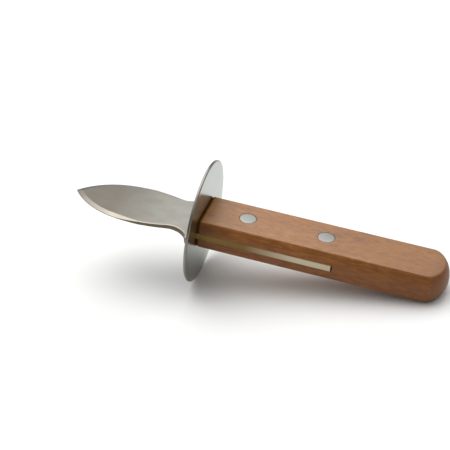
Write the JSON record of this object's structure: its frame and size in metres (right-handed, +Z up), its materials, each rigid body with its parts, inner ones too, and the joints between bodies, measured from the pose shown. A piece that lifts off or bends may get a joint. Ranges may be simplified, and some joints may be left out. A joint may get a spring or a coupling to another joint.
{
  "type": "oyster knife",
  "caption": "Oyster knife with a short leaf-shaped steel blade, a round hand guard and a riveted wooden handle, lying on its guard's rim and its handle's end.",
  "frame": {"origin": "centre of the knife's footprint, at the height of the table that it lies on", "axes": "+Z up; X along the knife, with the raised tip towards -X and the handle's end towards +X; Y across the blade"},
  "size_m": [0.1578, 0.0522, 0.0513],
  "materials": {
    "blade": "satin",
    "guard": "polished stainless steel",
    "handle": "smooth, oiled, reddish brown",
    "rivets": "matt"
  },
  "bodies": {
    "root": {"blade": "blade", "guard": "guard", "handle": "handle", "front_rivet_tube": "rivets", "front_rivet_pin": "rivets", "rear_rivet_tube": "rivets", "rear_rivet_pin": "rivets"}
  },
  "joints": []
}
